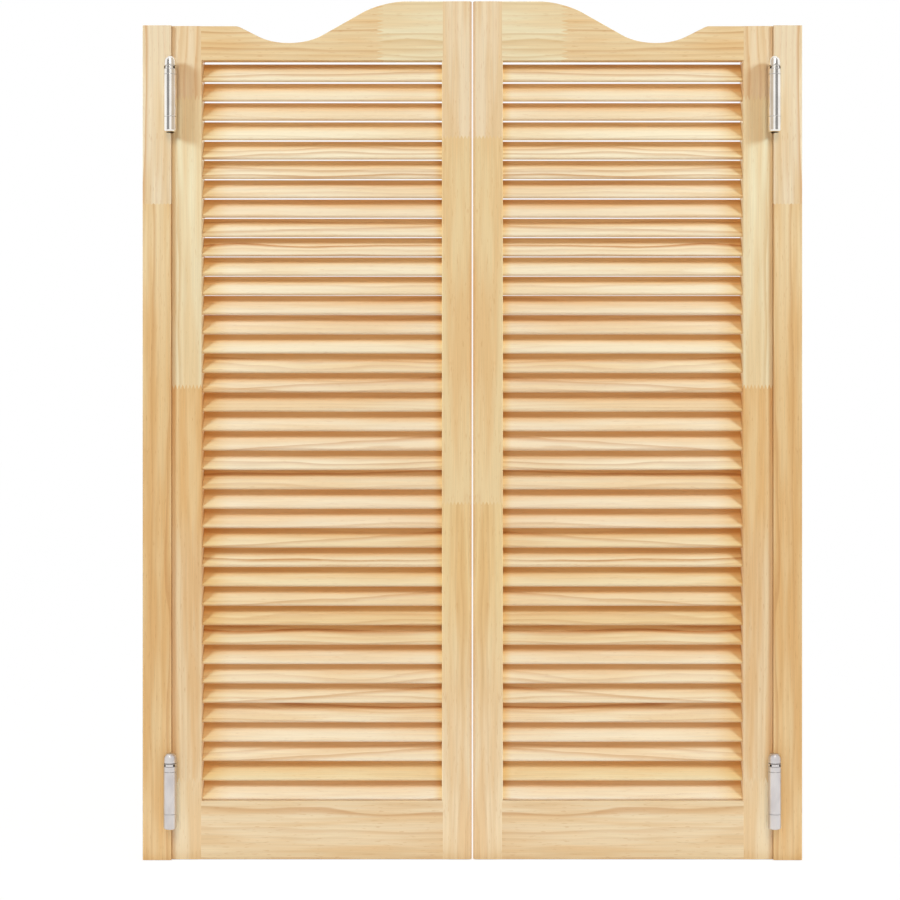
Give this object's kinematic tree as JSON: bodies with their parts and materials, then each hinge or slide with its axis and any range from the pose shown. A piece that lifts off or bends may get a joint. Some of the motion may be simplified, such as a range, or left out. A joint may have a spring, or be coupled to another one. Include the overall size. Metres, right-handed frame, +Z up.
{
  "type": "cafe swinging doors",
  "caption": "Pair of louvred pine cafe doors with a scalloped top, hung between two jamb posts on double-action spring hinges so that each swings both ways and returns.",
  "frame": {"origin": "bottom centre of the closed doors and their posts, midway through the thickness", "axes": "+X to the right seen from the front, +Y to the back, +Z up; the slats are low at the front (-Y)"},
  "size_m": [0.921, 0.073, 1.2],
  "materials": {
    "jamb_pine": "bare sanded softwood, warm",
    "stile_pine": "bare sanded softwood, finger-jointed",
    "rail_pine": "bare sanded softwood",
    "polished_steel": "polished plate",
    "satin_steel": "satin plate",
    "spring_steel": "oiled wire"
  },
  "bodies": {
    "jambs": {"left_jamb_post": "jamb_pine", "left_upper_jamb_leaf": "polished_steel", "left_upper_front_spring": "spring_steel", "left_lower_jamb_leaf": "satin_steel", "left_lower_front_spring": "spring_steel", "right_jamb_post": "jamb_pine", "right_upper_jamb_leaf": "polished_steel", "right_upper_back_spring": "spring_steel", "right_lower_jamb_leaf": "satin_steel", "right_lower_back_spring": "spring_steel"},
    "left_hinge_webs": {"left_upper_web": "polished_steel", "left_lower_web": "satin_steel"},
    "left_door": {"left_hinge_stile": "stile_pine", "left_meeting_stile_and_slats": "stile_pine", "left_top_rail": "rail_pine", "left_bottom_rail": "rail_pine", "left_upper_door_leaf": "polished_steel", "left_upper_back_spring": "spring_steel", "left_lower_door_leaf": "satin_steel", "left_lower_back_spring": "spring_steel"},
    "right_hinge_webs": {"right_upper_web": "polished_steel", "right_lower_web": "satin_steel"},
    "right_door": {"right_hinge_stile": "stile_pine", "right_meeting_stile_and_slats": "stile_pine", "right_top_rail": "rail_pine", "right_bottom_rail": "rail_pine", "right_upper_door_leaf": "polished_steel", "right_upper_front_spring": "spring_steel", "right_lower_door_leaf": "satin_steel", "right_lower_front_spring": "spring_steel"},
    "left_upper_front_tension": {"left_upper_front_collar": "polished_steel", "left_upper_front_spindle": "polished_steel"},
    "left_upper_back_tension": {"left_upper_back_collar": "polished_steel", "left_upper_back_spindle": "polished_steel"},
    "left_lower_front_tension": {"left_lower_front_collar": "satin_steel", "left_lower_front_spindle": "satin_steel"},
    "left_lower_back_tension": {"left_lower_back_collar": "satin_steel", "left_lower_back_spindle": "satin_steel"},
    "right_upper_front_tension": {"right_upper_front_collar": "polished_steel", "right_upper_front_spindle": "polished_steel"},
    "right_upper_back_tension": {"right_upper_back_collar": "polished_steel", "right_upper_back_spindle": "polished_steel"},
    "right_lower_front_tension": {"right_lower_front_collar": "satin_steel", "right_lower_front_spindle": "satin_steel"},
    "right_lower_back_tension": {"right_lower_back_collar": "satin_steel", "right_lower_back_spindle": "satin_steel"}
  },
  "joints": [
    {"name": "left_front_swing", "type": "hinge", "parent": "jambs", "child": "left_hinge_webs", "pos_m": [-0.42, -0.0275, 0.6], "axis": [0, 0, -1], "range_deg": [0, 90], "stiffness_Nm_per_rad": 1.2, "springref_deg": -40.11},
    {"name": "left_back_swing", "type": "hinge", "parent": "left_hinge_webs", "child": "left_door", "pos_m": [-0.42, 0.0275, 0.6], "axis": [0, 0, -1], "range_deg": [-90, 0], "stiffness_Nm_per_rad": 1.2, "springref_deg": 40.11},
    {"name": "right_back_swing", "type": "hinge", "parent": "jambs", "child": "right_hinge_webs", "pos_m": [0.42, 0.0275, 0.6], "axis": [0, 0, 1], "range_deg": [-90, 0], "stiffness_Nm_per_rad": 1.2, "springref_deg": 40.11},
    {"name": "right_front_swing", "type": "hinge", "parent": "right_hinge_webs", "child": "right_door", "pos_m": [0.42, -0.0275, 0.6], "axis": [0, 0, 1], "range_deg": [0, 90], "stiffness_Nm_per_rad": 1.2, "springref_deg": -40.11},
    {"name": "left_upper_front_collar_turn", "type": "hinge", "parent": "left_hinge_webs", "child": "left_upper_front_tension", "pos_m": [-0.42, -0.0275, 1.1045], "axis": [0, 0, 1], "range_deg": [0, 270]},
    {"name": "left_upper_back_collar_turn", "type": "hinge", "parent": "left_hinge_webs", "child": "left_upper_back_tension", "pos_m": [-0.42, 0.0275, 1.1045], "axis": [0, 0, 1], "range_deg": [0, 270]},
    {"name": "left_lower_front_collar_turn", "type": "hinge", "parent": "left_hinge_webs", "child": "left_lower_front_tension", "pos_m": [-0.42, -0.0275, 0.136], "axis": [0, 0, 1], "range_deg": [0, 270]},
    {"name": "left_lower_back_collar_turn", "type": "hinge", "parent": "left_hinge_webs", "child": "left_lower_back_tension", "pos_m": [-0.42, 0.0275, 0.136], "axis": [0, 0, 1], "range_deg": [0, 270]},
    {"name": "right_upper_front_collar_turn", "type": "hinge", "parent": "right_hinge_webs", "child": "right_upper_front_tension", "pos_m": [0.42, -0.0275, 1.1045], "axis": [0, 0, 1], "range_deg": [0, 270]},
    {"name": "right_upper_back_collar_turn", "type": "hinge", "parent": "right_hinge_webs", "child": "right_upper_back_tension", "pos_m": [0.42, 0.0275, 1.1045], "axis": [0, 0, 1], "range_deg": [0, 270]},
    {"name": "right_lower_front_collar_turn", "type": "hinge", "parent": "right_hinge_webs", "child": "right_lower_front_tension", "pos_m": [0.42, -0.0275, 0.136], "axis": [0, 0, 1], "range_deg": [0, 270]},
    {"name": "right_lower_back_collar_turn", "type": "hinge", "parent": "right_hinge_webs", "child": "right_lower_back_tension", "pos_m": [0.42, 0.0275, 0.136], "axis": [0, 0, 1], "range_deg": [0, 270]}
  ]
}
